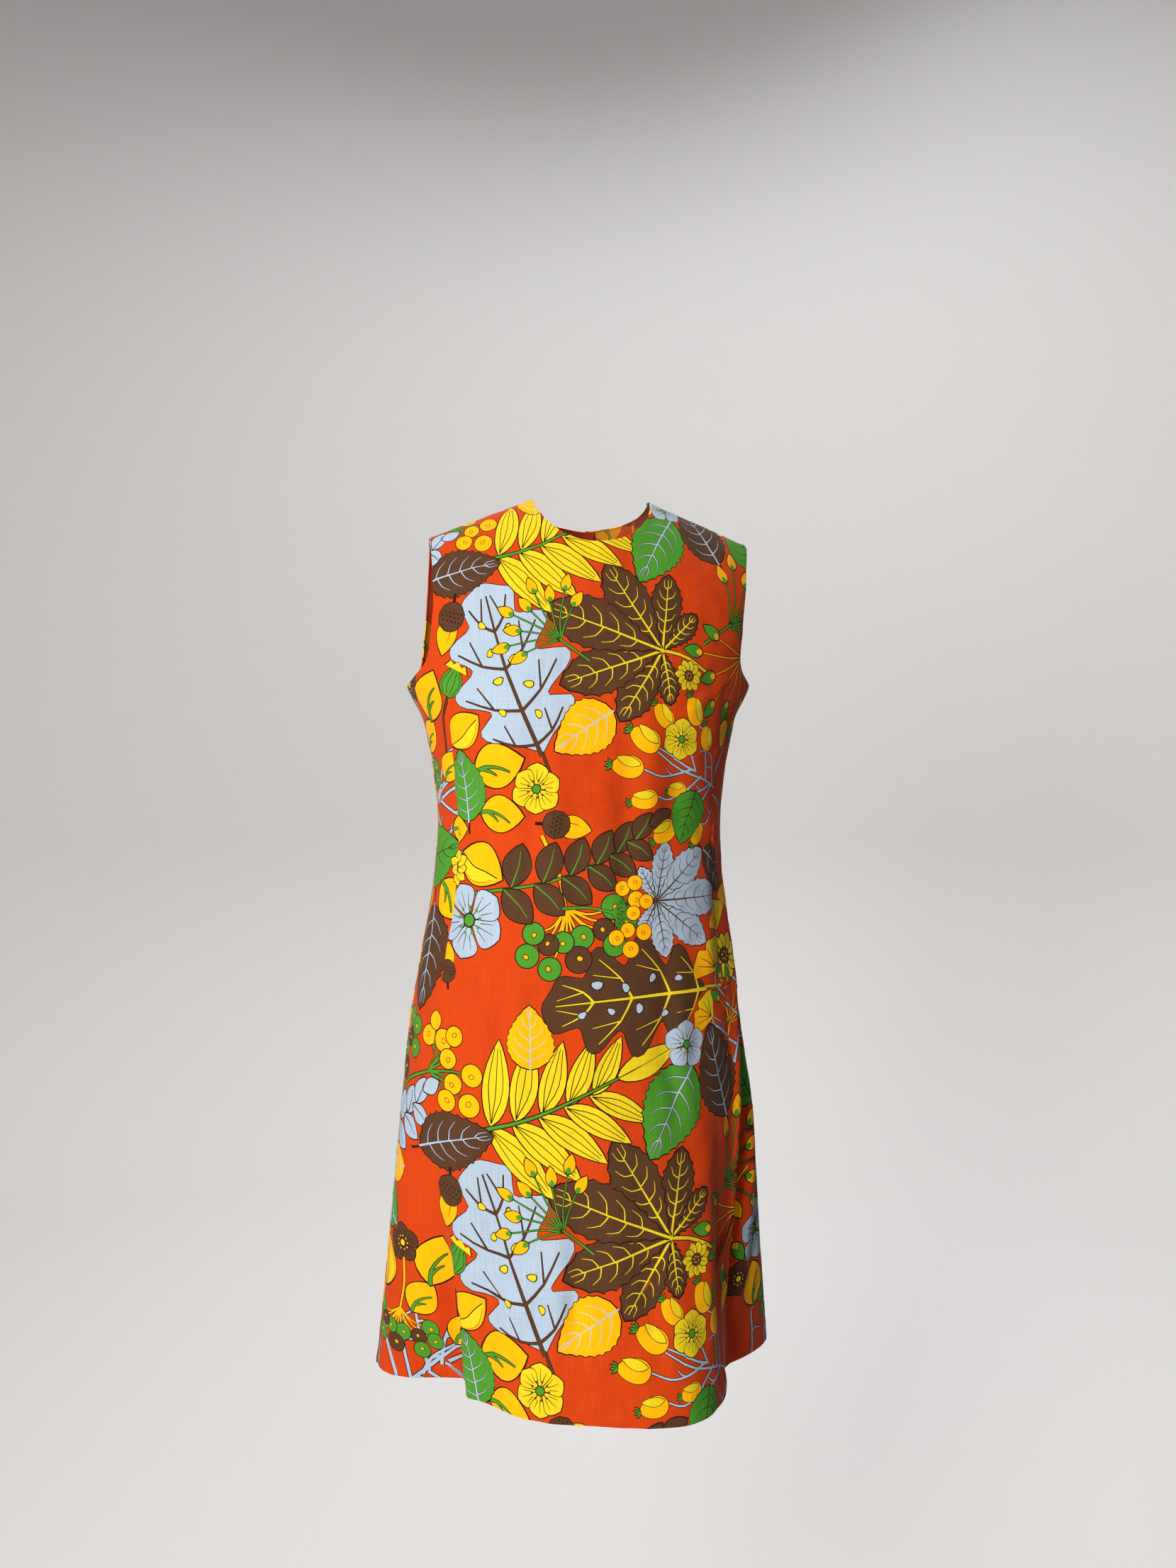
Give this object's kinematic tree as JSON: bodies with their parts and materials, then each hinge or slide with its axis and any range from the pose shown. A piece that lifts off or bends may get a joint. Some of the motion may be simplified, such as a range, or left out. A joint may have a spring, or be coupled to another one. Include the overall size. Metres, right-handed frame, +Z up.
{
  "type": "shift dress",
  "caption": "Sleeveless round-neck A-line shift dress of printed linen, held in its worn hollow form, with fluted skirt and a zip down the centre back.",
  "frame": {"origin": "midway between the two high shoulder points, where the shoulder seams meet the neckline and the wearer's shoulders hold the dress", "axes": "+Z up, the front faces -Y, +X is the wearer's left"},
  "size_m": [0.414, 0.3193, 0.892],
  "materials": {
    "printed_linen": "matt twill-woven linen, orange-red ground with a printed pattern of leaves and berries",
    "zip_tape": "woven tape dyed to match the ground",
    "zip_metal": "satin, lightly worn"
  },
  "bodies": {
    "dress": {"front": "printed_linen", "back_left": "printed_linen", "back_right": "printed_linen", "zip_tape": "zip_tape", "zip_chain": "zip_metal", "zip_slider": "zip_metal"},
    "pull": {"zip_pull": "zip_metal"}
  },
  "joints": [
    {"name": "zip_pull_swing", "type": "hinge", "parent": "dress", "child": "pull", "pos_m": [-0.00037, 0.06946, -0.02872], "axis": [1, 0, 0], "range_deg": [0, 150]}
  ]
}
